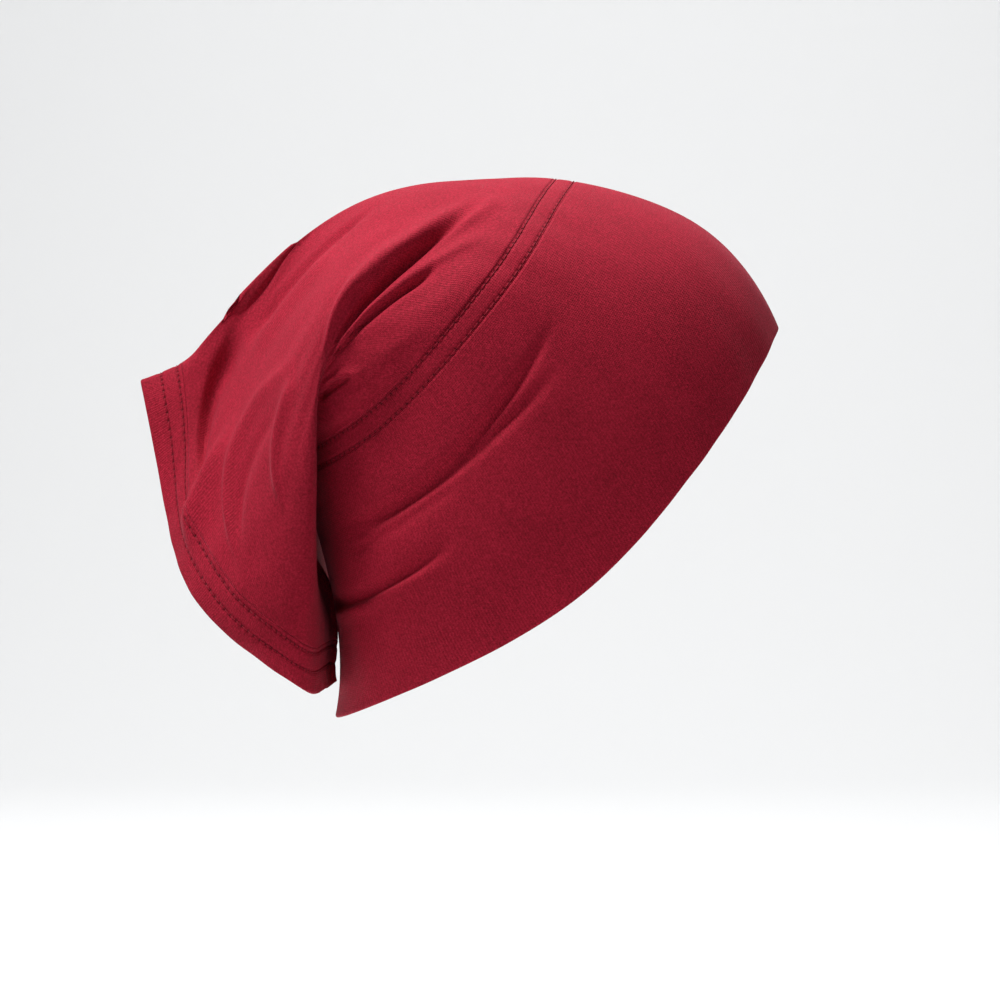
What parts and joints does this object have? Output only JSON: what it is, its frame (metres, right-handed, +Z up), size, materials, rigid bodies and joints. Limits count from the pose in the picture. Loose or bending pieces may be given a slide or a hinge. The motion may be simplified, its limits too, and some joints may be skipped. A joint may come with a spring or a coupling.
{
  "type": "hijab underscarf cap",
  "caption": "Jersey tube cap for under a headscarf, with a wide double front band, a stitched crown seam and a slack flap that folds over at the back to a hemmed opening.",
  "frame": {"origin": "the head's seat, on the inside of the cloth at the top of the crown", "axes": "+X towards the face, +Z up, Y = 0 the plane of symmetry between the ears"},
  "size_m": [0.2395, 0.1584, 0.2023],
  "materials": {
    "jersey": "matt wine-red cotton jersey with fine wales",
    "stitched_jersey": "layered wine-red jersey with twin needle rows in matching thread"
  },
  "bodies": {
    "root": {"front_band": "jersey", "crown_seam": "stitched_jersey", "crown_drape": "jersey", "rear_hem": "stitched_jersey"}
  },
  "joints": []
}
